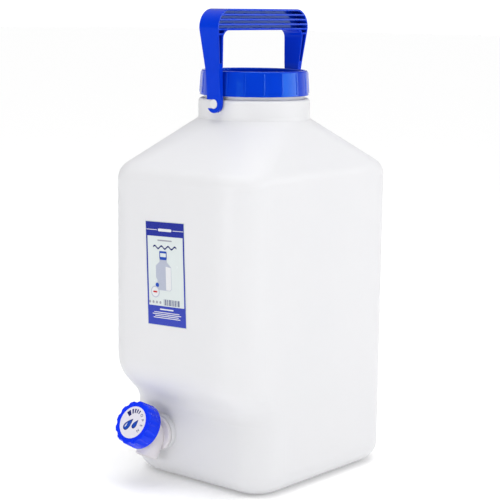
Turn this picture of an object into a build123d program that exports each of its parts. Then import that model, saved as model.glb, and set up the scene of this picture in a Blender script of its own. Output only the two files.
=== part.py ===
from build123d import *
import os
from math import atan2, cos, radians, sin, sqrt, tan

# Water canister, in millimetres. Z is up, the front (label and tap) faces -Y,
# and the origin is where the neck axis meets the ground.

# Bottle body, blown in one piece
body_width = 166.0            # side to side
body_depth = 223.3            # front to back
corner_radius = 33.0          # upright corners, seen from above
base_edge_radius = 20.0       # round edge between the walls and the base
body_wall = 1.4
straight_height = 285.2       # ground to the foot of the shoulder
shoulder_height = 44.4        # rise from the walls to the neck
shoulder_bend_radius = 16.0   # round bend where the walls turn into the shoulder
shoulder_top_flat = 0.5       # half of each short straight where the shoulder meets the collar
neck_blend_radius = 9.0       # hollow round between shoulder and collar
neck_blend_sink = 0.15        # lower rim of that round, below the shoulder where it is steepest

# Step in the front wall, full width, that makes room for the tap
recess_depth = 28.3
recess_mid_height = 88.3      # height of the middle of the slope
recess_slope = 45.0           # degrees from upright
recess_upper_bend = 36.0
recess_lower_bend = 20.0

# Neck: a wide collar that carries the handle pins, and the narrower finish under the cap
finish_radius = 46.0
collar_step = 4.9             # collar beyond the finish
collar_height = 18.2
collar_edge_radius = 3.0
finish_height = 17.4
neck_wall = 2.2

# Handle pins, one on each side of the collar
pin_radius = 4.15
pin_height = 14.5             # pin axis above the foot of the collar
pin_end_proud = 0.8           # pin end beyond the outer face of the hook
pin_edge_chamfer = 0.6

# Screw cap
cap_gap = 3.0                 # collar top to the lower edge of the cap
cap_thread_room = 1.8         # between the finish and the inside of the cap
cap_wall = 2.0                # at the lower edge
cap_taper = 1.5               # narrower at the top, on the radius
cap_plate = 1.6
cap_dish_depth = 5.0          # top plate below the rim
cap_rim_width = 3.4
cap_rim_round = 1.4
cap_rib_count = 18
cap_rib_radius = 0.9
cap_rib_proud = 0.45
cap_rib_end_gap = 1.8         # rib ends short of the lower edge and the rim
liner_thickness = 1.2
liner_side_clearance = 0.5
liner_seat_clearance = 0.05

# Handle: one moulding with a middle web, outer skins and lengthwise ribs
grip_height = 18.9            # top face down to the hand opening
grip_rise = 83.7              # pin axis up to the top face
hook_side_clearance = 1.4     # inner faces of the hooks to the collar
hook_thickness = 3.7
hook_top_rise = 9.0           # pin axis up to the top of the straight hooks
arm_side_clearance = 3.6      # inner faces of the arms to the cap
arm_thickness = 5.3           # beside the cap top
arm_flare_gap = 4.9           # cap top up to where the arms flare outward
opening_flare = 2.5           # inner faces, from beside the cap to under the grip
grip_end_thickness = 7.5      # thickness of the arms under the grip
grip_side_height = 17.2       # upright stretch of the outer faces, down from the top face
grip_corner_radius = 16.5
opening_corner_radius = 6.5
grip_width = 22.0             # along X, at the grip
arm_width = 15.9              # along X, beside the cap and at the hooks
widen_end_drop = 17.7         # full width is reached this far below the top face
handle_web = 2.6
handle_skin = 1.3
rib_thickness = 1.6
groove_height = 2.65
grip_groove_count = 4
channel_foot_gap = 2.1        # start of the flare up to the foot of the channel in each arm
hook_clearance = 0.08
hook_mouth = 7.7              # a little less than the pin, so the hook snaps on

# Label on the front wall
label_width = 46.8
label_height = 93.0
label_thickness = 0.15
label_offset_x = -4.8
label_mid_height = 197.5
label_tilt = 2.3              # degrees, stuck on slightly askew
ink_thickness = 0.05
label_margin = 0.7
label_header = 12.6
label_footer = 17.2
label_side_band = 1.7

# Tap seat on the wall of the step
tap_offset_x = -34.7
tap_height = 44.5
boss_radius = 16.7
boss_rise = 5.0
boss_edge_radius = 1.6
washer_thickness = 1.2
washer_radius = 15.6

# Tap body: flange and threaded tail on the wall, barrel turned upward, spout square to the barrel
barrel_tilt = 28.0            # degrees above level
flange_radius = 16.2
flange_thickness = 3.0
flange_edge_radius = 0.8
tail_radius = 9.6
tail_bore_radius = 6.4
tail_hole_clearance = 0.3
tail_end_proud = 1.6
nut_corner_radius = 14.6
nut_height = 6.0
nut_clearance = 0.1
inner_washer_radius = 14.4
barrel_radius = 10.1
barrel_bore_radius = 8.0
barrel_length = 27.0          # flange face to the open end, along the axis
barrel_bore_start = -3.6      # closed end of the bore, behind the flange face
barrel_root = 9.0             # how far the barrel runs back into the flange
snap_collar_radius = 12.4
snap_collar_width = 2.0
snap_collar_inset = 2.6       # open end of the barrel to the near side of the collar
spout_axis_distance = 2.0     # spout axis in front of the flange centre
spout_radius = 10.4
spout_bore_radius = 8.3
spout_length = 23.1           # barrel axis to the lip
spout_bore_depth = 11.0
port_radius = 4.4

# Turning plug inside the barrel
plug_clearance = 0.05
plug_end_clearance = 0.4
plug_proud = 0.2              # plug beyond the open end of the barrel
plug_cavity_radius = 5.6
plug_cavity_margin = 3.6      # cavity beyond the side port
plug_peg_across = 9.0
plug_peg_clearance = 0.1      # around the peg
plug_peg_end_gap = 0.6        # peg end to the disc
seal_distance = 17.0
seal_section_radius = 1.2
seal_squeeze_gap = 0.03

# Knob and the printed disc in its face
knob_depth = 14.2             # open rear edge to the front rim
knob_rear_radius = 20.7
knob_front_radius = 20.1
knob_skirt_wall = 2.2
knob_front_round = 1.2
knob_plate = 2.2
knob_sleeve_clearance = 0.3
knob_sleeve_wall = 1.8
knob_lip_clearance = 0.8      # snap lip to the barrel and to its collar
knob_socket_wall = 2.6        # around the peg
knob_socket_depth = 3.0
knob_socket_gap = 0.6         # plug shoulder to the socket
knob_flute_count = 12
knob_flute_phase = 12.0       # degrees from +X to the first flute
knob_flute_radius = 4.6
knob_flute_depth = 1.7        # at the front rim
knob_flute_tilt = 9.0         # degrees, so the flute runs out on the skirt
disc_radius = 14.8
disc_thickness = 1.2
disc_clearance = 0.1

# Small working values
level_tolerance = 0.01        # for finding edges that lie level
cut_overrun = 1.0             # how far a cut runs past the face it opens

# Places worked out from the sizes above
collar_radius = finish_radius + collar_step
neck_base_z = straight_height + shoulder_height
collar_top_z = neck_base_z + collar_height
finish_top_z = collar_top_z + finish_height
finish_bore_radius = finish_radius - neck_wall
cap_bottom_z = collar_top_z + cap_gap
liner_bottom_z = finish_top_z + liner_seat_clearance
cap_plate_z = liner_bottom_z + liner_thickness + liner_seat_clearance
cap_top_z = cap_plate_z + cap_plate + cap_dish_depth
cap_inner_radius = finish_radius + cap_thread_room
cap_lower_radius = cap_inner_radius + cap_wall
cap_upper_radius = cap_lower_radius - cap_taper
pin_z = neck_base_z + pin_height
grip_top_z = pin_z + grip_rise
flare_z = cap_top_z + arm_flare_gap
hook_inner_half_span = collar_radius + hook_side_clearance
hook_half_span = hook_inner_half_span + hook_thickness
arm_inner_half_span = cap_lower_radius + arm_side_clearance
arm_half_span = arm_inner_half_span + arm_thickness
opening_half_span = arm_inner_half_span + opening_flare
grip_half_span = opening_half_span + grip_end_thickness
front_y = -body_depth / 2
step_wall_y = front_y + recess_depth
boss_face_y = step_wall_y - boss_rise
flange_back_y = boss_face_y - washer_thickness
flange_face_y = flange_back_y - flange_thickness
barrel_frame = Plane(
    origin=(tap_offset_x, flange_face_y, tap_height),
    x_dir=(1, 0, 0),
    z_dir=(0, -cos(radians(barrel_tilt)), sin(radians(barrel_tilt))),
)
snap_collar_start = barrel_length - snap_collar_inset - snap_collar_width
plug_start = barrel_bore_start + plug_end_clearance
plug_shoulder = barrel_length + plug_proud
plug_cavity_end = spout_axis_distance + port_radius + plug_cavity_margin
knob_plate_back = plug_shoulder + knob_socket_gap + knob_socket_depth
disc_seat = knob_plate_back + knob_plate
plug_peg_end = disc_seat - plug_peg_end_gap
knob_face = disc_seat + disc_thickness
knob_back = knob_face - knob_depth
upward = (Align.CENTER, Align.CENTER, Align.MIN)


def rod(radius, start, length):
    """A cylinder on the local Z axis that begins at start."""
    return Pos(0, 0, start) * Cylinder(radius, length, align=upward)


def wall_rod(radius, start_y, end_y):
    """A cylinder on the tail's axis, square to the front wall, between two depths."""
    frame = Plane(origin=(tap_offset_x, end_y, tap_height), x_dir=(1, 0, 0), z_dir=(0, 1, 0))
    return frame * rod(radius, 0, start_y - end_y)


def edges_at(form, z):
    """All edges that lie level at height z."""
    return form.edges().filter_by_position(Axis.Z, z - level_tolerance, z + level_tolerance)


def body_outline(width, depth, radius, z):
    """Level outline of the body: four corner arcs joined by four straight sides."""
    mid_x = width / 2 - radius
    mid_y = depth / 2 - radius
    corners = []
    for turn, (side_x, side_y) in enumerate(((1, 1), (-1, 1), (-1, -1), (1, -1))):
        corners.append(CenterArc((side_x * mid_x, side_y * mid_y, z), radius, 90 * turn, 90))
    edges = []
    for corner, following in zip(corners, corners[1:] + corners[:1]):
        edges += [corner, Edge.make_line(corner @ 1, following @ 0)]
    return Wire(edges)


def stepped_prism(inset, top_z):
    """Straight body whose front follows the step; the level outline slides along the front line."""
    miter = inset * tan(radians(recess_slope / 2))
    half_rise = recess_depth / tan(radians(recess_slope)) / 2
    deep = body_depth + recess_depth
    front_line = FilletPolyline(
        (0, 0, inset),
        (0, 0, recess_mid_height - half_rise + miter),
        (0, -recess_depth, recess_mid_height + half_rise + miter),
        (0, -recess_depth, top_z),
        radius=[recess_lower_bend + inset, recess_upper_bend - inset],
    )
    outline = RectangleRounded(body_width - 2 * inset, deep, corner_radius - inset)
    outline = Pos(0, step_wall_y + inset + deep / 2, inset) * outline
    return sweep(outline, path=front_line, normal=(0, 0, 1))


def walls_form(inset, top_z):
    """Upright walls: the stepped front half joined to a plain rear half."""
    reach = 4 * body_depth
    rear_space = Pos(0, reach / 2, 0) * Box(reach, reach, reach)
    outline = RectangleRounded(body_width - 2 * inset, body_depth - 2 * inset, corner_radius - inset)
    rear = Pos(0, 0, inset) * extrude(outline, top_z - inset) & rear_space
    return stepped_prism(inset, top_z) - rear_space + rear


def body_form(inset):
    """The body with its shoulder and collar, with every face moved inward by inset."""
    slope = atan2(shoulder_height, body_depth / 2 - collar_radius)
    drop = inset * tan((radians(90) - slope) / 2)
    foot_z = straight_height - drop
    head_z = neck_base_z - drop
    neck_radius = collar_radius - inset
    width = body_width - 2 * inset
    depth = body_depth - 2 * inset
    foot = body_outline(width, depth, corner_radius - inset, foot_z)
    head = body_outline(2 * neck_radius, 2 * neck_radius, neck_radius - shoulder_top_flat, head_z)
    form = walls_form(inset, foot_z) + Solid.make_loft([foot, head], True)
    side_run = body_width / 2 - collar_radius
    front_run = body_depth / 2 - collar_radius
    bend_room = corner_radius * side_run / front_run
    form = fillet(edges_at(form, foot_z), min(shoulder_bend_radius, bend_room) - inset)
    form = fillet(edges_at(form, inset), base_edge_radius - inset)
    collar_foot = head_z - body_wall
    collar = rod(neck_radius, collar_foot, collar_top_z - inset - collar_foot)
    return form + fillet(collar.edges().group_by(Axis.Z)[-1], collar_edge_radius - inset)


def neck_blend():
    """Ring that rounds the hollow corner between shoulder and collar."""
    steepest = atan2(shoulder_height, body_width / 2 - collar_radius)
    reach = neck_blend_radius * tan((radians(90) - steepest) / 2)
    core = collar_radius - body_wall
    top = (collar_radius, neck_base_z + reach)
    low_x = collar_radius + reach * cos(steepest) - neck_blend_sink * sin(steepest)
    low_z = neck_base_z - reach * sin(steepest) - neck_blend_sink * cos(steepest)
    low = (low_x, low_z)
    round_side = TangentArc(top, low, tangent=(0, -1))
    rest = Polyline(low, (core, neck_base_z - reach), (core, neck_base_z + reach), top)
    return revolve(Plane.XZ * make_face(round_side + rest), Axis.Z)


def handle_pin(side):
    """Pin that stands out of the collar along Y and carries one hook."""
    start = collar_radius - body_wall / 2
    end = hook_half_span + pin_end_proud
    pin = rod(pin_radius, start, end - start)
    pin = chamfer(pin.edges().group_by(Axis.Z)[-1], pin_edge_chamfer)
    return Plane(origin=(0, 0, pin_z), x_dir=(1, 0, 0), z_dir=(0, side, 0)) * pin


def bottle():
    """Hollow blown bottle with the step, the tap boss, the neck and the two handle pins."""
    outside = body_form(0) + neck_blend()
    outside += rod(finish_radius, collar_top_z - body_wall, finish_height + body_wall)
    boss = wall_rod(boss_radius, step_wall_y + body_wall / 2, boss_face_y)
    boss = fillet(boss.edges().group_by(Axis.Y)[0], boss_edge_radius)
    outside = outside + boss + handle_pin(1) + handle_pin(-1)
    inside = body_form(body_wall)
    inside += rod(finish_bore_radius, collar_top_z - 2 * body_wall, finish_height + 3 * body_wall)
    inside += wall_rod(boss_radius - body_wall, step_wall_y + 2 * body_wall, boss_face_y + body_wall)
    hole_radius = tail_radius + tail_hole_clearance
    return outside - inside - wall_rod(hole_radius, step_wall_y, boss_face_y - body_wall)


def cap():
    """Screw cap with a dished top, a round rim and small upright ribs on the skirt."""
    height = cap_top_z - cap_bottom_z
    shell = Pos(0, 0, cap_bottom_z) * Cone(cap_lower_radius, cap_upper_radius, height, align=upward)
    shell -= rod(cap_upper_radius - cap_rim_width, cap_plate_z + cap_plate, cap_dish_depth + cut_overrun)
    shell = fillet(shell.edges().group_by(Axis.Z)[-1], cap_rim_round)
    lean = Vector(cap_upper_radius - cap_lower_radius, 0, height)
    sink = cap_rib_radius - cap_rib_proud
    foot = Vector(cap_lower_radius - sink, 0, cap_bottom_z) + lean * (cap_rib_end_gap / height)
    rib = extrude(Plane(foot) * Circle(cap_rib_radius), height - 2 * cap_rib_end_gap, dir=lean)
    for turn in range(cap_rib_count):
        shell += Rot(0, 0, turn * 360 / cap_rib_count) * rib
    inside_z = cap_bottom_z - cut_overrun
    return shell - rod(cap_inner_radius, inside_z, cap_plate_z - inside_z)


def cap_liner():
    """Soft foam disc that seals the cap on the finish."""
    return rod(cap_inner_radius - liner_side_clearance, liner_bottom_z, liner_thickness)


def handle_front_outline():
    """Outline of the handle seen from the front: narrow hooks, wider grip."""
    half_arm = arm_width / 2
    half_grip = grip_width / 2
    return make_face(
        Polyline(
            (half_arm, pin_z),
            (half_arm, cap_top_z),
            (half_grip, grip_top_z - widen_end_drop),
            (half_grip, grip_top_z),
            (-half_grip, grip_top_z),
            (-half_grip, grip_top_z - widen_end_drop),
            (-half_arm, cap_top_z),
            (-half_arm, pin_z),
            close=True,
        )
    )


def handle_side_outlines():
    """Outer outline and hand opening of the handle seen from the side, both closed below."""
    foot_z = pin_z - arm_width
    outer = [
        (hook_half_span, foot_z),
        (hook_half_span, pin_z + hook_top_rise),
        (arm_half_span, flare_z),
        (grip_half_span, grip_top_z - grip_side_height),
        (grip_half_span, grip_top_z),
    ]
    inner = [
        (hook_inner_half_span, foot_z - cut_overrun),
        (hook_inner_half_span, pin_z + hook_top_rise),
        (arm_inner_half_span, flare_z),
        (opening_half_span, grip_top_z - grip_height),
    ]
    outer_face = make_face(Polyline(*outer, *[(-y, z) for y, z in reversed(outer)], close=True))
    inner_face = make_face(Polyline(*inner, *[(-y, z) for y, z in reversed(inner)], close=True))
    outer_face = fillet(outer_face.vertices().group_by(Axis.Y)[-1], grip_corner_radius)
    inner_face = fillet(inner_face.vertices().group_by(Axis.Y)[-1], opening_corner_radius)
    return outer_face, inner_face


def handle_pockets(outer, inner):
    """Grooves between the lengthwise ribs, as one flat pattern seen from the side."""
    ring = offset(outer, -handle_skin) - offset(inner, handle_skin)
    pitch = groove_height + rib_thickness
    top = grip_top_z - (grip_height - grip_groove_count * pitch + rib_thickness) / 2
    span = 4 * grip_half_span
    bars = []
    for row in range(grip_groove_count + 1):
        bars.append(Pos(0, top - row * pitch - groove_height / 2) * Rectangle(span, groove_height))
    channel_top = top - (grip_groove_count + 1) * pitch
    channel_height = channel_top - (flare_z + channel_foot_gap)
    bars.append(Pos(0, channel_top - channel_height / 2) * Rectangle(span, channel_height))
    return ring & (Sketch() + bars)


def handle():
    """Carrying handle: ribbed grip, two tapering arms and an open hook at the end of each."""
    side_view = Plane(origin=(0, 0, 0), x_dir=(0, 1, 0), z_dir=(1, 0, 0))
    front_view = Plane(origin=(0, 0, 0), x_dir=(1, 0, 0), z_dir=(0, -1, 0))
    outer, inner = handle_side_outlines()
    blank = extrude(side_view * (outer - inner), grip_width / 2, both=True)
    hook_circle = Pos(0, pin_z) * Circle(arm_width / 2)
    blank &= extrude(front_view * (handle_front_outline() + hook_circle), grip_half_span, both=True)
    pockets = handle_pockets(outer, inner)
    for side in (1, -1):
        pocket_plane = side_view.offset(side * handle_web / 2)
        blank -= extrude(pocket_plane * pockets, side * grip_width)
    hole = Pos(0, pin_z) * Circle(pin_radius + hook_clearance)
    mouth = Pos(-arm_width / 2, pin_z) * Rectangle(arm_width, hook_mouth)
    return blank - extrude(front_view * (hole + mouth), grip_half_span, both=True)


def label_frame(lift):
    """Frame on the front wall, turned with the label and lifted off the wall."""
    tilt = radians(label_tilt)
    return Plane(
        origin=(label_offset_x, front_y - lift, label_mid_height),
        x_dir=(cos(tilt), 0, sin(tilt)),
        z_dir=(0, -1, 0),
    )


def label():
    """Plain film label on the front wall."""
    return extrude(label_frame(0) * Rectangle(label_width, label_height), label_thickness)


def label_print():
    """Ink on the label: a head band, a foot band and two thin side bands round a bare middle."""
    width = label_width - 2 * label_margin
    height = label_height - 2 * label_margin
    window = Rectangle(width - 2 * label_side_band, height - label_header - label_footer)
    window = Pos(0, (label_footer - label_header) / 2) * window
    return extrude(label_frame(label_thickness) * (Rectangle(width, height) - window), ink_thickness)


def tap_body():
    """Fixed half of the tap: flange and tail on the wall, tilted barrel, spout."""
    barrel = rod(barrel_radius, -barrel_root, barrel_length + barrel_root)
    barrel += rod(snap_collar_radius, snap_collar_start, snap_collar_width)
    spout_frame = Plane(origin=(0, 0, spout_axis_distance), x_dir=(1, 0, 0), z_dir=(0, -1, 0))
    barrel += spout_frame * rod(spout_radius, 0, spout_length)
    body = barrel_frame * barrel
    reach = 4 * flange_radius
    behind = Pos(tap_offset_x, flange_back_y + reach / 2, tap_height) * Box(reach, reach, reach)
    body -= behind
    flange = wall_rod(flange_radius, flange_back_y, flange_face_y)
    flange = fillet(flange.edges().group_by(Axis.Y)[0], flange_edge_radius)
    body += flange
    body += wall_rod(tail_radius, tail_end_y(), flange_back_y - flange_thickness / 2)
    bore = rod(barrel_bore_radius, barrel_bore_start, 2 * barrel_length)
    bore += spout_frame * rod(spout_bore_radius, spout_length - spout_bore_depth, spout_length)
    bore += spout_frame * rod(port_radius, 0, spout_length)
    body -= barrel_frame * bore
    return body - wall_rod(tail_bore_radius, tail_end_y() + cut_overrun, flange_face_y)


def nut_face_y():
    """Depth of the nut's bearing face, behind the wall of the boss and the inner washer."""
    return boss_face_y + body_wall + washer_thickness


def tail_end_y():
    """Depth of the tail's inner end."""
    return nut_face_y() + nut_height + tail_end_proud


def tap_washer():
    """Soft washer between the flange and the boss."""
    ring = wall_rod(washer_radius, boss_face_y, flange_back_y)
    return ring - wall_rod(tail_radius + tail_hole_clearance, boss_face_y, flange_back_y)


def tap_inner_washer():
    """Soft washer between the nut and the inside of the boss."""
    ring = wall_rod(inner_washer_radius, nut_face_y(), boss_face_y + body_wall)
    return ring - wall_rod(tail_radius + tail_hole_clearance, nut_face_y(), boss_face_y + body_wall)


def tap_nut():
    """Hexagon nut on the tail, inside the bottle."""
    frame = Plane(origin=(tap_offset_x, nut_face_y(), tap_height), x_dir=(1, 0, 0), z_dir=(0, 1, 0))
    outline = RegularPolygon(nut_corner_radius, 6) - Circle(tail_radius + nut_clearance)
    return frame * extrude(outline, nut_height)


def tap_plug():
    """Turning plug: hollow at the inner end with a side port, and a hexagon peg for the knob."""
    radius = barrel_bore_radius - plug_clearance
    plug = rod(radius, plug_start, plug_shoulder - plug_start)
    plug += Pos(0, 0, plug_shoulder) * extrude(
        RegularPolygon(plug_peg_across / 2, 6, major_radius=False), plug_peg_end - plug_shoulder
    )
    cavity_start = plug_start - cut_overrun
    plug -= rod(plug_cavity_radius, cavity_start, plug_cavity_end - cavity_start)
    port_frame = Plane(origin=(0, 0, spout_axis_distance), x_dir=(0, 1, 0), z_dir=(-1, 0, 0))
    plug -= port_frame * rod(port_radius, 0, barrel_radius)
    groove_width = 2 * seal_section_radius + 2 * seal_squeeze_gap
    groove_floor = radius - 2 * seal_section_radius - seal_squeeze_gap
    groove = rod(barrel_radius, seal_distance - groove_width / 2, groove_width)
    groove -= rod(groove_floor, seal_distance - groove_width, 2 * groove_width)
    return barrel_frame * (plug - groove)


def plug_seal():
    """Round ring in the groove of the plug."""
    ring_radius = barrel_bore_radius - plug_clearance - seal_section_radius
    return barrel_frame * (Pos(0, 0, seal_distance) * Torus(ring_radius, seal_section_radius))


def knob_flute(turn):
    """Tool for one finger flute: a leaning rod that leaves the skirt half way back."""
    angle = knob_flute_phase + turn * 360 / knob_flute_count
    place = Pos(knob_front_radius + knob_flute_radius - knob_flute_depth, 0, knob_face)
    lean = Rot(0, -knob_flute_tilt, 0)
    return Rot(0, 0, angle) * place * lean * rod(knob_flute_radius, -knob_depth, 2 * knob_depth)


def tap_knob():
    """Blue knob: fluted skirt, sleeve that snaps over the barrel collar, socket for the plug."""
    knob = Pos(0, 0, knob_back) * Cone(knob_rear_radius, knob_front_radius, knob_depth, align=upward)
    knob = fillet(knob.edges().group_by(Axis.Z)[-1], knob_front_round)
    knob -= [knob_flute(turn) for turn in range(knob_flute_count)]
    open_z = knob_back - cut_overrun
    hollow = rod(knob_front_radius - knob_skirt_wall, open_z, knob_plate_back - open_z)
    sleeve_radius = snap_collar_radius + knob_sleeve_clearance
    knob -= hollow - rod(sleeve_radius + knob_sleeve_wall, open_z, knob_plate_back)
    lip_end = snap_collar_start - knob_lip_clearance
    inside = rod(sleeve_radius, lip_end, knob_plate_back - lip_end)
    inside += rod(barrel_radius + knob_lip_clearance, open_z, lip_end + cut_overrun - open_z)
    socket = plug_peg_across / sqrt(3) + knob_socket_wall
    knob -= inside - rod(socket, knob_plate_back - knob_socket_depth, knob_socket_depth)
    peg_hole = RegularPolygon(plug_peg_across / 2 + plug_peg_clearance, 6, major_radius=False)
    knob -= Pos(0, 0, plug_shoulder) * extrude(peg_hole, knob_face - plug_shoulder)
    knob -= rod(disc_radius + disc_clearance, disc_seat, disc_thickness + cut_overrun)
    return barrel_frame * knob


def knob_disc():
    """White disc pressed into the face of the knob."""
    return barrel_frame * rod(disc_radius, disc_seat, disc_thickness)


pieces = {
    "bottle": bottle,
    "cap": cap,
    "cap_liner": cap_liner,
    "handle": handle,
    "label": label,
    "label_print": label_print,
    "tap_body": tap_body,
    "tap_washer": tap_washer,
    "tap_inner_washer": tap_inner_washer,
    "tap_nut": tap_nut,
    "tap_plug": tap_plug,
    "plug_seal": plug_seal,
    "tap_knob": tap_knob,
    "knob_disc": knob_disc,
}

os.makedirs("parts", exist_ok=True)
for name, build in pieces.items():
    export_step(build(), "parts/" + name + ".step")
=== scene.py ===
import logging
import math
from dataclasses import dataclass, field
from enum import Enum
from typing import Any

import bpy
import numpy as np
from mathutils import Matrix, Vector


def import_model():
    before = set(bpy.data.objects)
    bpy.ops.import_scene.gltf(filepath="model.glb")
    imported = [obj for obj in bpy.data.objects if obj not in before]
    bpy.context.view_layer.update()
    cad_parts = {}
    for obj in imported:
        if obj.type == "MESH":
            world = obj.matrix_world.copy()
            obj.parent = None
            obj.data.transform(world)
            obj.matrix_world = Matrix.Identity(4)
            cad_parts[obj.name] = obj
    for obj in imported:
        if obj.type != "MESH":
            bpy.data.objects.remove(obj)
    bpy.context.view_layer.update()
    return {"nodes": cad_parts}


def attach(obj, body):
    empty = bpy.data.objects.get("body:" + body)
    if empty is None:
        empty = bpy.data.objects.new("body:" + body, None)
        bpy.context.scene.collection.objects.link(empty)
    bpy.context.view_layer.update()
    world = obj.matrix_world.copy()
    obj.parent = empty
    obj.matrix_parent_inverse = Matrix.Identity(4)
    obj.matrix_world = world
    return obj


log = logging.getLogger("water_canister")

MM = 0.001
ARC_POINTS = 6
Color = tuple[float, float, float]
Point = tuple[float, float, float]
Spot = tuple[float, float]


class Body(Enum):
    """The bodies of the frame that the pieces ride on."""

    BOTTLE = "bottle_body"
    CAP = "cap_top"
    TURNER = "tap_turner"


class Ink(Enum):
    """Print colours, as linear red, green and blue."""

    NAVY = (0.006, 0.012, 0.13)
    BLUE = (0.008, 0.06, 0.42)
    WHITE = (0.7, 0.71, 0.73)
    PALE = (0.42, 0.45, 0.55)
    GREY = (0.3, 0.31, 0.36)
    RED = (0.5, 0.012, 0.016)


# Materials


class Shader:
    """The node tree of one material, with short calls that add and link nodes."""

    def __init__(self, name: str) -> None:
        """Starts a material with a Principled surface.

        Args:
            name: The material's name.
        """
        self.material = bpy.data.materials.new(name)
        self.material.use_nodes = True
        self.tree = self.material.node_tree
        self.tree.nodes.clear()
        self.surface = self.add("ShaderNodeBsdfPrincipled")
        output = self.add("ShaderNodeOutputMaterial")
        self.link(self.surface.outputs["BSDF"], output.inputs["Surface"])
        self.place = self.add("ShaderNodeTexCoord").outputs["Object"]

    def add(self, kind: str, **values: Any) -> bpy.types.Node:
        """Adds a node.

        Args:
            kind: The node's type.
            values: Properties of the node.

        Returns:
            The new node.
        """
        node = self.tree.nodes.new(kind)
        for name, value in values.items():
            setattr(node, name, value)
        return node

    def link(self, source: bpy.types.NodeSocket, target: bpy.types.NodeSocket) -> None:
        """Links an output to an input."""
        self.tree.links.new(source, target)

    def noise(self, size: float, detail: float = 2.0,
              stretch: Point = (1.0, 1.0, 1.0)) -> bpy.types.NodeSocket:
        """Noise on the object's own coordinates.

        Args:
            size: Size of its patches in metres.
            detail: Octaves of finer noise.
            stretch: How many times longer the patches are along X, Y and Z.

        Returns:
            The socket with the noise from 0 to 1.
        """
        mapping = self.add("ShaderNodeMapping")
        mapping.inputs["Scale"].default_value = [1 / (size * factor) for factor in stretch]
        self.link(self.place, mapping.inputs["Vector"])
        node = self.add("ShaderNodeTexNoise")
        node.inputs["Scale"].default_value = 1.0
        node.inputs["Detail"].default_value = detail
        self.link(mapping.outputs["Vector"], node.inputs["Vector"])
        return node.outputs["Fac"]

    def cells(self, size: float) -> bpy.types.NodeSocket:
        """Distance to the nearest of many scattered points, for pores and foam.

        Args:
            size: Mean distance between the points in metres.

        Returns:
            The socket with the distance.
        """
        node = self.add("ShaderNodeTexVoronoi")
        node.inputs["Scale"].default_value = 1 / size
        self.link(self.place, node.inputs["Vector"])
        return node.outputs["Distance"]

    def remap(self, value: bpy.types.NodeSocket, low: float, high: float,
              start: float = 0.3, end: float = 0.7) -> bpy.types.NodeSocket:
        """Maps a value to a range, clamped.

        Args:
            value: The socket that is mapped.
            low: Result at start.
            high: Result at end.
            start: Value that gives low.
            end: Value that gives high.

        Returns:
            The mapped socket.
        """
        node = self.add("ShaderNodeMapRange")
        for name, number in (("From Min", start), ("From Max", end), ("To Min", low), ("To Max", high)):
            node.inputs[name].default_value = number
        self.link(value, node.inputs["Value"])
        return node.outputs["Result"]

    def blend(self, share: bpy.types.NodeSocket, first: Color, second: Color) -> bpy.types.NodeSocket:
        """Mixes two colours.

        Args:
            share: Share of the second colour, from 0 to 1.
            first: Colour where the share is 0.
            second: Colour where the share is 1.

        Returns:
            The socket with the colour.
        """
        node = self.add("ShaderNodeMix", data_type="RGBA")
        ends = [socket for socket in node.inputs if socket.type == "RGBA"]
        for socket, color in zip(ends, (first, second)):
            socket.default_value = (*color, 1.0)
        self.link(share, node.inputs["Factor"])
        return [socket for socket in node.outputs if socket.type == "RGBA"][0]

    def relief(self, height: bpy.types.NodeSocket, depth: float,
               under: bpy.types.NodeSocket | None = None) -> bpy.types.NodeSocket:
        """Bumps the surface by a height.

        Args:
            height: Height from 0 to 1.
            depth: Depth in metres of a height of 1.
            under: Normal that the bump is laid on.

        Returns:
            The bumped normal.
        """
        node = self.add("ShaderNodeBump")
        node.inputs["Distance"].default_value = depth
        self.link(height, node.inputs["Height"])
        if under is not None:
            self.link(under, node.inputs["Normal"])
        return node.outputs["Normal"]

    def rounded(self, radius: float) -> bpy.types.NodeSocket:
        """Normal that looks as if sharp edges had a small round.

        Args:
            radius: Radius of the round in metres.

        Returns:
            The rounded normal.
        """
        node = self.add("ShaderNodeBevel", samples=6)
        node.inputs["Radius"].default_value = radius
        return node.outputs["Normal"]

    def set(self, name: str, value: Any) -> None:
        """Sets a constant on one of the surface's sockets."""
        self.surface.inputs[name].default_value = value

    def drive(self, name: str, value: bpy.types.NodeSocket) -> None:
        """Links a value to one of the surface's sockets."""
        self.link(value, self.surface.inputs[name])


@dataclass(frozen=True)
class Plastic:
    """A plastic with a colour that drifts in slow patches, a satin gloss and a fine skin."""

    name: str
    color: Color
    deep: Color
    roughness: float = 0.32
    roughness_drift: float = 0.06
    patch_size: float = 0.03
    skin_size: float = 0.0008
    skin_depth: float = 0.00001
    wave_size: float = 0.03
    wave_depth: float = 0.0001
    edge_radius: float = 0.0
    specular: float = 0.5
    gloss_tint: Color = (1.0, 1.0, 1.0)
    subsurface: float = 0.0
    subsurface_depth: float = 0.004

    def shader(self) -> Shader:
        """Builds the material's nodes.

        Returns:
            The shader, for further nodes.
        """
        shader = Shader(self.name)
        patches = shader.noise(self.patch_size, detail=3.0)
        shader.drive("Base Color", shader.blend(shader.remap(patches, 0.0, 1.0), self.color, self.deep))
        grain = shader.noise(self.patch_size / 4, detail=4.0)
        low = self.roughness - self.roughness_drift
        shader.drive("Roughness", shader.remap(grain, low, self.roughness + self.roughness_drift))
        under = shader.rounded(self.edge_radius) if self.edge_radius else None
        waves = shader.relief(shader.noise(self.wave_size, detail=1.0), self.wave_depth, under)
        skin = shader.noise(self.skin_size)
        shader.drive("Normal", shader.relief(skin, self.skin_depth, waves))
        shader.set("Specular IOR Level", self.specular)
        shader.set("Specular Tint", (*self.gloss_tint, 1.0))
        shader.set("Subsurface Weight", self.subsurface)
        shader.set("Subsurface Radius", (1.0, 1.0, 1.0))
        shader.set("Subsurface Scale", self.subsurface_depth)
        return shader

    def material(self) -> bpy.types.Material:
        """The finished material."""
        return self.shader().material


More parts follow.
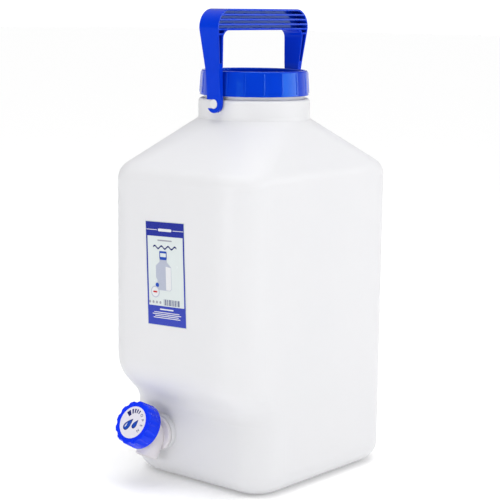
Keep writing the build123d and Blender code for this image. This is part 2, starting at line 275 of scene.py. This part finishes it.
@dataclass(frozen=True)
class BlownPlastic(Plastic):
    """Blown plastic: milky, with faint upright lines that the blowing die leaves."""

    line_size: float = 0.0035
    line_stretch: float = 60.0
    line_depth: float = 0.00002

    def material(self) -> bpy.types.Material:
        """Adds the upright lines to the plastic.

        Returns:
            The finished material.
        """
        shader = self.shader()
        under = shader.surface.inputs["Normal"].links[0].from_socket
        lines = shader.noise(self.line_size, stretch=(1.0, 1.0, self.line_stretch))
        shader.drive("Normal", shader.relief(lines, self.line_depth, under))
        return shader.material


@dataclass(frozen=True)
class Foam:
    """Fine closed foam with small pores, each darkened towards its centre with painted shade."""

    name: str
    color: Color
    # colour at each pore's centre: painted shade in the pore
    deep: Color
    pore_size: float = 0.0009
    pore_depth: float = 0.0002
    pore_shade_edge: float = 0.5
    roughness: float = 0.85

    def material(self) -> bpy.types.Material:
        """The finished material, with painted shade in the pores."""
        shader = Shader(self.name)
        pores = shader.cells(self.pore_size)
        # painted shade: the colour darkens from the pore's rim to its centre
        share = shader.remap(pores, 1.0, 0.0, 0.0, self.pore_shade_edge)
        shader.drive("Base Color", shader.blend(share, self.color, self.deep))
        shader.drive("Normal", shader.relief(pores, self.pore_depth))
        shader.set("Roughness", self.roughness)
        return shader.material


@dataclass(frozen=True)
class BandInk:
    """Printed blue that runs from a deep head to a lighter foot, under a clear film."""

    name: str
    head: Color
    foot: Color
    head_z: float
    foot_z: float
    roughness: float = 0.3
    roughness_drift: float = 0.05
    specular: float = 0.2
    speck_size: float = 0.0004

    def material(self) -> bpy.types.Material:
        """The finished material, whose colour follows the height on the label."""
        shader = Shader(self.name)
        split = shader.add("ShaderNodeSeparateXYZ")
        shader.link(shader.place, split.inputs["Vector"])
        share = shader.remap(split.outputs["Z"], 0.0, 1.0, self.head_z, self.foot_z)
        shader.drive("Base Color", shader.blend(share, self.head, self.foot))
        specks = shader.noise(self.speck_size, detail=1.0)
        low = self.roughness - self.roughness_drift
        shader.drive("Roughness", shader.remap(specks, low, self.roughness + self.roughness_drift))
        shader.set("Specular IOR Level", self.specular)
        return shader.material


@dataclass(frozen=True)
class FlatInk:
    """One flat print colour with the slight unevenness of print."""

    ink: Ink
    roughness: float = 0.35
    roughness_drift: float = 0.04
    specular: float = 0.2
    speck_size: float = 0.0003
    fade: float = 0.9

    def material(self) -> bpy.types.Material:
        """The finished material."""
        shader = Shader(f"ink_{self.ink.name.lower()}")
        specks = shader.noise(self.speck_size, detail=1.0)
        paler = tuple(channel * self.fade for channel in self.ink.value)
        shader.drive("Base Color", shader.blend(shader.remap(specks, 0.0, 1.0), self.ink.value, paler))
        low = self.roughness - self.roughness_drift
        shader.drive("Roughness", shader.remap(specks, low, self.roughness + self.roughness_drift))
        shader.set("Specular IOR Level", self.specular)
        return shader.material


# Finishes


BLOWN_WHITE = BlownPlastic(
    "blown_white", (0.7, 0.7, 0.715), (0.685, 0.687, 0.705), roughness=0.42, patch_size=0.12,
    skin_size=0.0016, wave_size=0.09, wave_depth=0.0006, specular=0.4, subsurface=0.25)
CAP_BLUE = Plastic(
    "moulded_blue", (0.0005, 0.036, 0.56), (0.0005, 0.03, 0.5), roughness=0.1, roughness_drift=0.03,
    edge_radius=0.0005, gloss_tint=(0.1, 0.6, 1.0), skin_size=0.0012, skin_depth=0.000004)
HANDLE_BLUE = Plastic(
    "handle_blue", (0.0005, 0.036, 0.6), (0.0005, 0.03, 0.54), roughness=0.07, roughness_drift=0.02,
    edge_radius=0.0006, specular=0.15, gloss_tint=(0.3, 0.8, 1.0), skin_size=0.0012, skin_depth=0.000006)
TAP_WHITE = Plastic(
    "tap_white", (0.76, 0.73, 0.75), (0.73, 0.7, 0.725), roughness=0.38, edge_radius=0.0005,
    subsurface=0.15, subsurface_depth=0.002)
KNOB_BLUE = Plastic(
    "knob_blue", (0.003, 0.03, 0.85), (0.003, 0.024, 0.76), roughness=0.24, edge_radius=0.0004,
    gloss_tint=(0.15, 0.5, 1.0))
DISC_WHITE = Plastic(
    "disc_white", (0.7, 0.68, 0.76), (0.68, 0.66, 0.74), roughness=0.25, wave_depth=0.00004)
PALE_RUBBER = Plastic(
    "pale_rubber", (0.6, 0.59, 0.58), (0.54, 0.53, 0.52), roughness=0.7, specular=0.3, patch_size=0.01)
# second colour: painted shade in the foam's pores
LINER_FOAM = Foam("liner_foam", (0.72, 0.72, 0.7), (0.6, 0.6, 0.58))
LABEL_FILM = Plastic(
    "label_film", (0.62, 0.67, 0.67), (0.61, 0.66, 0.66), roughness=0.22, wave_size=0.02,
    wave_depth=0.00012, skin_size=0.003)
BAND_BLUE = BandInk("band_ink", (0.008, 0.018, 0.26), (0.03, 0.05, 0.4), head_z=0.236, foot_z=0.158)


# Meshes


@dataclass
class Form:
    """Points and faces of a mesh."""

    points: np.ndarray
    faces: list[list[int]]

    @staticmethod
    def join(forms: "list[Form]") -> "Form":
        """Joins several forms into one.

        Args:
            forms: The forms, in any order.

        Returns:
            One form with all their points and faces.
        """
        starts = np.cumsum([0] + [len(form.points) for form in forms])
        faces = [[corner + int(start) for corner in face]
                 for form, start in zip(forms, starts) for face in form.faces]
        return Form(np.concatenate([form.points for form in forms]), faces)


@dataclass
class Placement:
    """A place on the canister: a local frame that carries flat shapes, in millimetres."""

    origin: Point
    across: Point
    up: Point
    outward: Point

    def lift(self, form: Form) -> Form:
        """Maps a form to the shared frame: origin + u across + v up + w outward.

        Args:
            form: The form, its points (u, v, w) in millimetres.

        Returns:
            The form, its points (x, y, z) in metres.
        """
        axes = np.array([self.across, self.up, self.outward])
        return Form((np.array(self.origin) + form.points @ axes) * MM, form.faces)


def tube_form(points: np.ndarray) -> Form:
    """Skin of a tube, closed at both ends.

    Args:
        points: Grid of points, one row for each section along the tube, one column round it.

    Returns:
        The form, with its faces outwards where the sections run round the tube by the right-hand rule.
    """
    rows, columns = points.shape[:2]
    index = np.arange(rows * columns).reshape(rows, columns)
    turned = np.roll(index, -1, axis=1)
    sides = np.stack([index[:-1], turned[:-1], turned[1:], index[1:]], axis=-1).reshape(-1, 4)
    faces = sides.tolist() + [index[0][::-1].tolist(), index[-1].tolist()]
    return Form(points.reshape(-1, 3), faces)


def prism(outline: np.ndarray, low: float, high: float) -> Form:
    """Flat plate with the given outline: each point of it at the low and at the high level.

    Args:
        outline: Points (u, v), counter-clockwise.
        low: Level of the back face.
        high: Level of the front face.

    Returns:
        The closed form, in local coordinates.
    """
    levels = np.array([low, high])
    points = np.empty((2, len(outline), 3))
    points[:, :, :2] = outline
    points[:, :, 2] = levels[:, None]
    return tube_form(points)


def rounded_bar(center: Spot, width: float, height: float, radius: float = 0.0) -> np.ndarray:
    """Outline of a bar with round corners: four quarter arcs of the radius about the inset corners.

    Args:
        center: Middle of the bar.
        width: Size across.
        height: Size up.
        radius: Corner radius.

    Returns:
        Points (u, v), counter-clockwise.
    """
    steps = np.linspace(0, math.pi / 2, ARC_POINTS if radius else 1)
    turns = np.arange(4) * math.pi / 2
    angles = (turns[:, None] + steps).reshape(-1)
    signs = np.repeat(np.array([[1, 1], [-1, 1], [-1, -1], [1, -1]]), len(steps), axis=0)
    middles = signs * (np.array([width, height]) / 2 - radius)
    return np.array(center) + middles + radius * np.stack([np.cos(angles), np.sin(angles)], axis=1)


def round_spot(center: Spot, radius: float, count: int = 40) -> np.ndarray:
    """Outline of a disc: center + radius (cos a, sin a) for a full turn of a."""
    angles = np.linspace(0, 2 * math.pi, count, endpoint=False)
    return np.array(center) + radius * np.stack([np.cos(angles), np.sin(angles)], axis=1)


def ring_bar(angle: float, inner: float, outer: float, spread: float) -> np.ndarray:
    """Outline of a bar that stands on a ring, between two radii and two angles.

    Args:
        angle: Middle of the bar, in degrees from across towards up.
        inner: Inner radius.
        outer: Outer radius.
        spread: Width of the bar, in degrees.

    Returns:
        Points (u, v), counter-clockwise.
    """
    angles = np.radians(np.linspace(angle - spread / 2, angle + spread / 2, ARC_POINTS))
    ray = np.stack([np.cos(angles), np.sin(angles)], axis=1)
    return np.concatenate([outer * ray, inner * ray[::-1]])


@dataclass(frozen=True)
class Drop:
    """A drop, in millimetres, its tip turned from up towards across by the tilt in degrees."""

    center: Spot
    width: float
    length: float
    tilt: float
    taper: float = 1.3
    fullness: float = 1.15
    points: int = 48

    def outline(self) -> np.ndarray:
        """Outline u = -f w/2 sin a sin(a/2)^t and v = l/2 cos a for a full turn of a, then turned.

        Returns:
            Points (u, v), counter-clockwise.
        """
        angles = np.linspace(0, 2 * math.pi, self.points, endpoint=False)
        across = -self.width / 2 * np.sin(angles) * np.sin(angles / 2) ** self.taper * self.fullness
        along = self.length / 2 * np.cos(angles)
        turn = math.radians(self.tilt)
        u = across * math.cos(turn) + along * math.sin(turn)
        v = -across * math.sin(turn) + along * math.cos(turn)
        return np.array(self.center) + np.stack([u, v], axis=1)


def wave_band(start: float, end: float, level: float, thickness: float, swing: float,
              waves: float) -> np.ndarray:
    """Outline of a waving band: v = level + swing sin(2 pi waves t), half the thickness up and down.

    Args:
        start: Left end.
        end: Right end.
        level: Middle height.
        thickness: Height of the band.
        swing: Height of the waves.
        waves: Number of waves.

    Returns:
        Points (u, v), counter-clockwise.
    """
    share = np.linspace(0, 1, 60)
    u = start + (end - start) * share
    v = level + swing * np.sin(2 * math.pi * waves * share)
    low = np.stack([u, v - thickness / 2], axis=1)
    high = np.stack([u, v + thickness / 2], axis=1)
    return np.concatenate([low, high[::-1]])


def squared(values: np.ndarray, power: float) -> np.ndarray:
    """Sine or cosine of a rounded square: sign(x) |x|^power."""
    return np.sign(values) * np.abs(values) ** power


def letter_form(letter: str, height: float, center: Spot, turn: float,
                low: float, high: float) -> Form:
    """A plain capital as a thin plate.

    Args:
        letter: The letter.
        height: Height of the capital.
        center: Middle of the letter.
        turn: Turn in degrees, counter-clockwise.
        low: Level of its back.
        high: Level of its front.

    Returns:
        The form, in local coordinates.
    """
    curve = bpy.data.curves.new("letter", "FONT")
    curve.body = letter
    curve.extrude = 0.5  # only parts back from front: the levels follow below
    curve.offset = 0.012  # swells the strokes
    holder = bpy.data.objects.new("letter", curve)
    mesh = bpy.data.meshes.new_from_object(holder)
    points = np.empty(len(mesh.vertices) * 3)
    mesh.vertices.foreach_get("co", points)
    points = points.reshape(-1, 3)
    faces = [list(face.vertices) for face in mesh.polygons]
    bpy.data.objects.remove(holder)
    bpy.data.curves.remove(curve)
    bpy.data.meshes.remove(mesh)
    corner = points[:, :2].min(axis=0)
    size = points[:, :2].max(axis=0) - corner
    flat = (points[:, :2] - corner - size / 2) * height / size[1]
    angle = math.radians(turn)
    spin = np.array([[math.cos(angle), math.sin(angle)], [-math.sin(angle), math.cos(angle)]])
    level = np.where(points[:, 2] > 0, high, low)
    return Form(np.column_stack([flat @ spin + np.array(center), level]), faces)


@dataclass
class Workshop:
    """Turns forms into pieces of the scene and dresses the frame's own nodes."""

    nodes: dict[str, bpy.types.Object]
    materials: dict[str, bpy.types.Material] = field(default_factory=dict)

    def finish(self, kind: Any) -> bpy.types.Material:
        """Gives the material of a finish, made once.

        Args:
            kind: The finish.

        Returns:
            Its material.
        """
        key = repr(kind)
        if key not in self.materials:
            self.materials[key] = kind.material()
        return self.materials[key]

    def dress(self, node: str, kind: Any) -> None:
        """Gives a node of the frame its finish.

        Args:
            node: The node's name.
            kind: The finish.
        """
        mesh = self.nodes[node].data
        mesh.materials.clear()
        mesh.materials.append(self.finish(kind))
        log.info("node %s: %s", node, mesh.materials[0].name)

    def piece(self, name: str, form: Form, kind: Any, body: Body, smooth: bool = False) -> None:
        """Makes a new piece that rides on a body.

        Args:
            name: The piece's name.
            form: Its points, in metres in the shared frame, and its faces.
            kind: Its finish.
            body: The body that it rides on.
            smooth: Whether its faces are shaded as one smooth surface.
        """
        mesh = bpy.data.meshes.new(name)
        mesh.from_pydata(form.points.tolist(), [], form.faces)
        mesh.polygons.foreach_set("use_smooth", np.full(len(mesh.polygons), smooth))
        mesh.materials.append(self.finish(kind))
        mesh.update()
        made = bpy.data.objects.new(name, mesh)
        bpy.context.scene.collection.objects.link(made)
        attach(made, body.value)
        log.info("piece %s: %d faces, on %s", name, len(form.faces), body.value)


# Sub-assemblies


@dataclass
class ScrewThread:
    """A screw ridge that winds round the neck's axis and runs out at both ends, in millimetres."""

    name: str
    body: Body
    slot: str
    wall_radius: float
    height: float
    start_z: float
    turns: float
    first_angle: float = 30.0
    pitch: float = 7.0
    width: float = 2.4
    sink: float = 0.15
    run_out: float = 0.12
    end_share: float = 0.1
    squareness: float = 0.7
    steps_per_turn: int = 72
    section_points: int = 16

    def form(self) -> Form:
        """Winds a rounded section on a helix.

        A point at angle a lies at radius r + k c and height z0 + p a / 2 pi + k s. Here (c, s) runs round a
        rounded square, its half inside the wall pressed down to the sink, and k falls to a small share at
        both ends by the smooth step 3 e^2 - 2 e^3.

        Returns:
            The closed form, in metres.
        """
        share = np.linspace(0, 1, int(self.steps_per_turn * self.turns) + 1)
        around = np.linspace(0, 2 * math.pi, self.section_points, endpoint=False)
        rise = squared(np.sin(around), self.squareness)
        rise = np.where(rise > 0, rise * self.height, rise * self.sink * np.sign(self.height))
        along = squared(np.cos(around), self.squareness) * self.width / 2
        ends = np.clip(np.minimum(share, 1 - share) / self.run_out, 0, 1)
        fade = self.end_share + (1 - self.end_share) * (3 * ends ** 2 - 2 * ends ** 3)
        angle = math.radians(self.first_angle) + 2 * math.pi * self.turns * share
        radius = self.wall_radius + fade[:, None] * rise
        height = (self.start_z + self.pitch * self.turns * share)[:, None] + fade[:, None] * along
        x = radius * np.cos(angle)[:, None]
        y = radius * np.sin(angle)[:, None]
        points = np.stack([x, y, height], axis=-1)
        if self.height > 0:
            points = points[:, ::-1]
        return tube_form(points * MM)

    def build(self, shop: Workshop, finish: Plastic) -> None:
        """Makes the ridge in the finish of its wall."""
        shop.piece(self.name, self.form(), finish, self.body, smooth=True)


@dataclass
class Bottle:
    """The blown bottle with the screw ridge on its neck."""

    finish: BlownPlastic = BLOWN_WHITE
    thread: ScrewThread = field(default_factory=lambda: ScrewThread(
        "neck_thread", Body.BOTTLE, "bottle_plastic", wall_radius=46.0, height=1.25, start_z=352.4,
        turns=1.35))

    def build(self, shop: Workshop) -> None:
        """Dresses the shell and adds the ridge."""
        shop.dress("bottle", self.finish)
        self.thread.build(shop, self.finish)


@dataclass
class CapAndHandle:
    """The screw cap with its liner and the carrying handle."""

    finish: Plastic = CAP_BLUE
    handle_finish: Plastic = HANDLE_BLUE
    liner: Foam = LINER_FOAM
    thread: ScrewThread = field(default_factory=lambda: ScrewThread(
        "cap_thread", Body.CAP, "blue_plastic", wall_radius=47.8, height=-1.25, start_z=355.9, turns=1.0))

    def build(self, shop: Workshop) -> None:
        """Dresses the cap, the liner and the handle and adds the cap's ridge."""
        shop.dress("cap", self.finish)
        shop.dress("handle", self.handle_finish)
        shop.dress("cap_liner", self.liner)
        self.thread.build(shop, self.finish)


@dataclass(frozen=True)
class Mark:
    """Flat shapes of one ink on the label, over a number of other layers of ink."""

    name: str
    ink: Ink
    outlines: list[np.ndarray]
    level: int = 0
    on_band: bool = False


@dataclass
class FrontLabel:
    """The printed label: film, blue bands, plain marks and a small picture, in label millimetres."""

    film: Plastic = LABEL_FILM
    bands: BandInk = BAND_BLUE
    tilt: float = 2.3
    origin: Point = (-4.8, -111.65, 197.5)
    film_top: float = 0.15
    band_top: float = 0.2
    layer: float = 0.02
    sink: float = 0.01
    head_level: float = 38.8
    head_line_offset: float = 15.8
    foot_lines: tuple[tuple[float, float, float], ...] = (
        (-31.6, 16.0, 1.2), (-34.4, 30.0, 0.7), (-36.0, 34.0, 0.7), (-37.6, 28.0, 0.7), (-39.2, 32.0, 0.7))
    bar_widths: tuple[float, ...] = (
        0.5, 0.9, 0.4, 0.7, 0.4, 1.1, 0.5, 0.4, 0.8, 0.5, 0.9, 0.4, 0.6, 1.0, 0.5)
    bar_height: float = 5.4
    bar_gap: float = 0.65
    bar_start: float = -4.0
    bar_level: float = -25.1
    spot_start: Spot = (-20.0, -25.6)
    spot_step: float = 4.2
    spot_count: int = 4
    ring_center: Spot = (-13.2, -16.4)
    ring_radius: float = 5.2
    ring_width: float = 1.0
    picture_center: Spot = (-2.0, 1.4)
    picture_body: tuple[Spot, ...] = (
        (-9.4, -14.2), (-8.0, -16.0), (6.8, -16.0), (8.6, -14.4), (8.6, 5.0), (3.6, 9.2), (3.6, 11.2),
        (-5.2, 11.2), (-5.2, 9.2), (-9.8, 5.6), (-9.8, -4.6), (-8.2, -7.2), (-8.2, -12.2))
    picture_shade: tuple[Spot, ...] = ((2.0, -15.6), (6.6, -15.6), (8.2, -14.2), (8.2, 4.6), (2.0, 5.4))

    def placement(self) -> Placement:
        """The label's own frame on the front wall."""
        turn = math.radians(self.tilt)
        across = (math.cos(turn), 0.0, math.sin(turn))
        up = (-math.sin(turn), 0.0, math.cos(turn))
        return Placement(self.origin, across, up, (0.0, -1.0, 0.0))

    def plates(self, mark: Mark) -> Form:
        """Lays a mark's shapes on the film or on a band.

        Args:
            mark: The mark.

        Returns:
            The form, in metres.
        """
        ground = self.band_top if mark.on_band else self.film_top
        low = ground + mark.level * self.layer - self.sink
        high = low + self.layer + self.sink
        return self.placement().lift(Form.join([prism(outline, low, high) for outline in mark.outlines]))

    def header(self) -> list[np.ndarray]:
        """Slim bar in the head band, with a thin line at each side."""
        bar = rounded_bar((0.0, self.head_level), 16.0, 2.4, 1.1)
        lines = [rounded_bar((side * self.head_line_offset, self.head_level), 12.6, 0.5)
                 for side in (-1, 1)]
        return [bar, *lines]

    def footer(self) -> list[np.ndarray]:
        """Lines of different lengths in the foot band."""
        return [rounded_bar((0.0, level), width, height) for level, width, height in self.foot_lines]

    def bar_block(self) -> list[np.ndarray]:
        """Row of upright bars of mixed width, low on the right."""
        widths = np.array(self.bar_widths)
        starts = self.bar_start + np.cumsum(widths + self.bar_gap)
        return [rounded_bar((float(u), self.bar_level), float(width), self.bar_height)
                for u, width in zip(starts, widths)]

    def spot_row(self) -> list[np.ndarray]:
        """Row of small round-cornered spots, low on the left."""
        u0, v0 = self.spot_start
        return [rounded_bar((u0 + self.spot_step * step, v0), 2.4, 2.4, 0.9)
                for step in range(self.spot_count)]

    def picture(self) -> list[Mark]:
        """Small plain picture of a canister of this kind, about the picture's centre."""
        u0, v0 = self.picture_center
        middle = u0 - 0.8
        cap = rounded_bar((middle, v0 + 12.4), 8.4, 2.6, 0.6)
        arms = [rounded_bar((middle + side * 3.9, v0 + 15.0), 1.0, 5.6, 0.3) for side in (-1, 1)]
        grip = rounded_bar((middle, v0 + 17.9), 8.8, 1.8, 0.8)
        tap = round_spot((u0 - 8.6, v0 - 11.6), 2.1, 24)
        return [
            Mark("label_picture_body", Ink.PALE, [np.array(self.picture_body) + (u0, v0)]),
            Mark("label_picture_shade", Ink.WHITE, [np.array(self.picture_shade) + (u0, v0)], 1),
            Mark("label_picture_cap", Ink.BLUE, [cap, grip, *arms, tap], 1),
        ]

    def marks(self) -> list[Mark]:
        """Every mark of the label, from the bands down to the picture."""
        ring_inside = self.ring_radius - self.ring_width
        return [
            Mark("label_head_bar", Ink.WHITE, self.header(), on_band=True),
            Mark("label_foot_lines", Ink.WHITE, self.footer(), on_band=True),
            Mark("label_name_wave", Ink.NAVY, [wave_band(-14.5, 13.5, 23.5, 1.5, 1.2, 3.5)]),
            Mark("label_small_dash", Ink.GREY, [rounded_bar((-0.5, 29.6), 17.0, 1.3, 0.4)]),
            Mark("label_bars", Ink.NAVY, self.bar_block()),
            Mark("label_small_marks", Ink.GREY, self.spot_row()),
            Mark("label_ring", Ink.PALE, [round_spot(self.ring_center, self.ring_radius)], 2),
            Mark("label_ring_inside", Ink.WHITE, [round_spot(self.ring_center, ring_inside)], 3),
            Mark("label_ring_bar", Ink.RED, [rounded_bar(self.ring_center, 5.0, 1.5, 0.4)], 4),
            *self.picture(),
        ]

    def build(self, shop: Workshop) -> None:
        """Dresses the film and the bands and prints every mark."""
        shop.dress("label", self.film)
        shop.dress("label_print", self.bands)
        for mark in self.marks():
            shop.piece(mark.name, self.plates(mark), FlatInk(mark.ink), Body.BOTTLE)


@dataclass
class Tap:
    """The tap: pale body, nut, plug and washers, blue knob, and the white disc with its scale.

    A scale bar has its angle, its inner radius and its spread, and a letter has its angle, all angles in
    degrees from across towards up.
    """

    body: Plastic = TAP_WHITE
    knob: Plastic = KNOB_BLUE
    disc: Plastic = DISC_WHITE
    rubber: Plastic = PALE_RUBBER
    tilt: float = 28.0
    origin: Point = (-34.7, -92.55, 44.5)
    face: float = 34.2
    layer: float = 0.03
    sink: float = 0.01
    scale_bars: tuple[tuple[float, float, float], ...] = (
        (134.0, 7.6, 21.0), (111.0, 8.2, 9.5), (96.0, 8.6, 8.5), (82.0, 8.9, 7.5), (68.0, 9.3, 6.5))
    bar_outer: float = 12.6
    letters: tuple[tuple[str, float], ...] = (("O", 45.0), ("P", 20.0), ("E", -6.0), ("N", -34.0))
    letter_radius: float = 11.1
    letter_height: float = 2.7
    drop_rims: tuple[Drop, ...] = (Drop((-4.2, -2.2), 8.2, 13.4, 34.0), Drop((3.6, -0.8), 5.8, 9.6, 26.0))
    drops: tuple[Drop, ...] = (Drop((-4.4, -2.5), 6.6, 11.0, 34.0), Drop((3.5, -1.0), 4.4, 7.6, 26.0))
    glints: tuple[Drop, ...] = (Drop((-6.4, -3.4), 1.3, 4.6, 24.0),)

    def placement(self) -> Placement:
        """The frame of the barrel: up is square to its axis, outward is towards the knob."""
        lean = math.radians(self.tilt)
        outward = (0.0, -math.cos(lean), math.sin(lean))
        return Placement(self.origin, (1.0, 0.0, 0.0), (0.0, math.sin(lean), math.cos(lean)), outward)

    def levels(self, level: int) -> tuple[float, float]:
        """Back and front of a layer of ink, over a number of others."""
        ground = self.face + level * self.layer
        return ground - self.sink, ground + self.layer

    def drop_forms(self, drops: tuple[Drop, ...], level: int) -> list[Form]:
        """Plates of the drops of one layer."""
        return [prism(drop.outline(), *self.levels(level)) for drop in drops]

    def scale(self) -> list[Form]:
        """Plates of the scale's bars."""
        return [prism(ring_bar(angle, inner, self.bar_outer, spread), *self.levels(0))
                for angle, inner, spread in self.scale_bars]

    def word(self) -> list[Form]:
        """Plates of the letters, each turned with its place on the ring."""
        forms = []
        for letter, angle in self.letters:
            ray = math.radians(angle)
            center = (self.letter_radius * math.cos(ray), self.letter_radius * math.sin(ray))
            forms.append(letter_form(letter, self.letter_height, center, angle - 90, *self.levels(0)))
        return forms

    def build(self, shop: Workshop) -> None:
        """Dresses the tap's nodes and prints the disc."""
        for node in ("tap_body", "tap_nut", "tap_plug"):
            shop.dress(node, self.body)
        for node in ("tap_washer", "tap_inner_washer", "plug_seal"):
            shop.dress(node, self.rubber)
        shop.dress("tap_knob", self.knob)
        shop.dress("knob_disc", self.disc)
        prints = [
            ("disc_scale", Ink.NAVY, self.scale()),
            ("disc_letters", Ink.NAVY, self.word()),
            ("disc_drop_rims", Ink.NAVY, self.drop_forms(self.drop_rims, 0)),
            ("disc_drops", Ink.BLUE, self.drop_forms(self.drops, 1)),
            ("disc_glint", Ink.WHITE, self.drop_forms(self.glints, 2)),
        ]
        for name, ink, forms in prints:
            form = self.placement().lift(Form.join(forms))
            shop.piece(name, form, FlatInk(ink), Body.TURNER)


# Studio


@dataclass
class Softbox:
    """A rectangular light that faces the canister, in metres."""

    name: str
    azimuth: float
    distance: float
    height: float
    width: float
    tall: float
    radiance: float
    target: Point = (0.0, 0.0, 0.3)

    def place(self) -> Vector:
        """Place of the light; its azimuth is in degrees from the front towards the right side."""
        turn = math.radians(self.azimuth)
        return Vector((self.distance * math.sin(turn), -self.distance * math.cos(turn), self.height))

    def build(self) -> None:
        """Adds the light, turned towards its target; its power is pi times its area times its radiance."""
        data = bpy.data.lights.new(self.name, "AREA")
        data.shape = "RECTANGLE"
        data.size = self.width
        data.size_y = self.tall
        data.energy = math.pi * self.width * self.tall * self.radiance
        light = bpy.data.objects.new(self.name, data)
        light.location = self.place()
        look = Vector(self.target) - self.place()
        light.rotation_euler = look.to_track_quat("-Z", "Y").to_euler()
        light.visible_camera = False
        bpy.context.scene.collection.objects.link(light)


@dataclass
class Studio:
    """White floor, soft daylight from all round, softboxes and the camera."""

    floor_size: float = 40.0
    floor_gap: float = 0.0002
    floor_color: Color = (0.9, 0.9, 0.9)
    floor_roughness: float = 0.9
    floor_specular: float = 0.1
    floor_glow: float = 0.12
    camera_place: Point = (0.8957, -1.0692, 0.4311)
    camera_right: Point = (0.7643, 0.6448, 0.0119)
    camera_forward: Point = (-0.6352, 0.7558, -0.1588)
    sensor_width: float = 36.0
    lens: float = 109.65
    softboxes: list[Softbox] = field(default_factory=lambda: [
        Softbox("light_above", 40.0, 0.35, 1.7, 1.0, 1.0, 1.4),
        Softbox("light_front", 12.0, 1.5, 0.34, 0.44, 0.08, 44.0),
        Softbox("light_right", 63.0, 1.5, 0.34, 0.3, 0.06, 20.0),
        Softbox("light_side", 122.0, 1.6, 0.56, 1.4, 0.5, 3.8),
    ])
    sky_level: float = 0.34
    sky_zenith: float = 2.6
    sky_ring: float = 0.95
    sky_ring_slope: float = 12.0
    sky_back: float = 0.25
    sky_power: float = 4.0

    def floor(self) -> None:
        """Adds the floor: one wide square just under the base."""
        half = self.floor_size / 2
        square = [(-half, -half), (half, -half), (half, half), (-half, half)]
        mesh = bpy.data.meshes.new("floor")
        mesh.from_pydata([(x, y, -self.floor_gap) for x, y in square], [], [[0, 1, 2, 3]])
        shader = Shader("studio_floor")
        shader.set("Base Color", (*self.floor_color, 1.0))
        shader.set("Roughness", self.floor_roughness)
        shader.set("Specular IOR Level", self.floor_specular)
        shader.set("Emission Color", (1.0, 1.0, 1.0, 1.0))
        shader.set("Emission Strength", self.floor_glow)
        mesh.materials.append(shader.material)
        made = bpy.data.objects.new("floor", mesh)
        bpy.context.scene.collection.objects.link(made)

    def sky(self) -> None:
        """Adds the daylight: even, with a bright zenith, a thin ring at the horizon and a light back.

        Light in a direction d is level + zenith max(0, z)^p + ring max(0, 1 - slope |z|)
        + back max(0, b d)^p, where b points away from the camera.
        """
        world = bpy.data.worlds.new("soft_daylight")
        world.use_nodes = True
        tree = world.node_tree
        tree.nodes.clear()
        output = tree.nodes.new("ShaderNodeOutputWorld")
        background = tree.nodes.new("ShaderNodeBackground")
        tree.links.new(background.outputs["Background"], output.inputs["Surface"])
        coords = tree.nodes.new("ShaderNodeTexCoord")

        def along(direction: Point) -> bpy.types.NodeSocket:
            """Share of a world direction in the light's direction."""
            node = tree.nodes.new("ShaderNodeVectorMath")
            node.operation = "DOT_PRODUCT"
            node.inputs[1].default_value = direction
            tree.links.new(coords.outputs["Generated"], node.inputs[0])
            return node.outputs["Value"]

        def calculate(operation: str, first: Any, second: Any = 0.0) -> bpy.types.NodeSocket:
            """One sum of two sockets or numbers."""
            node = tree.nodes.new("ShaderNodeMath")
            node.operation = operation
            for socket, value in zip(node.inputs, (first, second)):
                if isinstance(value, float):
                    socket.default_value = value
                else:
                    tree.links.new(value, socket)
            return node.outputs["Value"]

        def beam(share: bpy.types.NodeSocket, strength: float) -> bpy.types.NodeSocket:
            """Light that gathers in one direction: strength max(0, share)^p."""
            gathered = calculate("POWER", calculate("MAXIMUM", share), self.sky_power)
            return calculate("MULTIPLY", gathered, strength)

        rise = along((0.0, 0.0, 1.0))
        zenith = beam(rise, self.sky_zenith)
        slope = calculate("MULTIPLY", calculate("ABSOLUTE", rise), self.sky_ring_slope)
        near = calculate("MAXIMUM", calculate("SUBTRACT", 1.0, slope))
        ring = calculate("MULTIPLY", near, self.sky_ring)
        back = beam(along((self.camera_forward[0], self.camera_forward[1], 0.0)), self.sky_back)
        total = calculate("ADD", calculate("ADD", zenith, ring), calculate("ADD", back, self.sky_level))
        tree.links.new(total, background.inputs["Strength"])
        bpy.context.scene.world = world

    def camera(self) -> None:
        """Adds the camera, turned as the photograph was taken."""
        data = bpy.data.cameras.new("camera")
        data.sensor_width = self.sensor_width
        data.sensor_fit = "HORIZONTAL"
        data.lens = self.lens
        camera = bpy.data.objects.new("camera", data)
        right = Vector(self.camera_right).normalized()
        forward = Vector(self.camera_forward).normalized()
        up = right.cross(forward)
        turn = Matrix((right, up, -forward)).transposed()
        camera.matrix_world = Matrix.Translation(self.camera_place) @ turn.to_4x4()
        bpy.context.scene.collection.objects.link(camera)
        bpy.context.scene.camera = camera

    def build(self) -> None:
        """Sets up the whole studio and plain colour management."""
        self.floor()
        self.sky()
        for softbox in self.softboxes:
            softbox.build()
        self.camera()
        bpy.context.scene.view_settings.view_transform = "Standard"


def main() -> None:
    """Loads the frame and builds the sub-assemblies in order."""
    logging.basicConfig(level=logging.INFO, format="%(name)s: %(message)s")
    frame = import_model()
    shop = Workshop(frame["nodes"])
    for assembly in (Bottle(), CapAndHandle(), FrontLabel(), Tap()):
        assembly.build(shop)
    Studio().build()


if __name__ == "__main__":
    main()
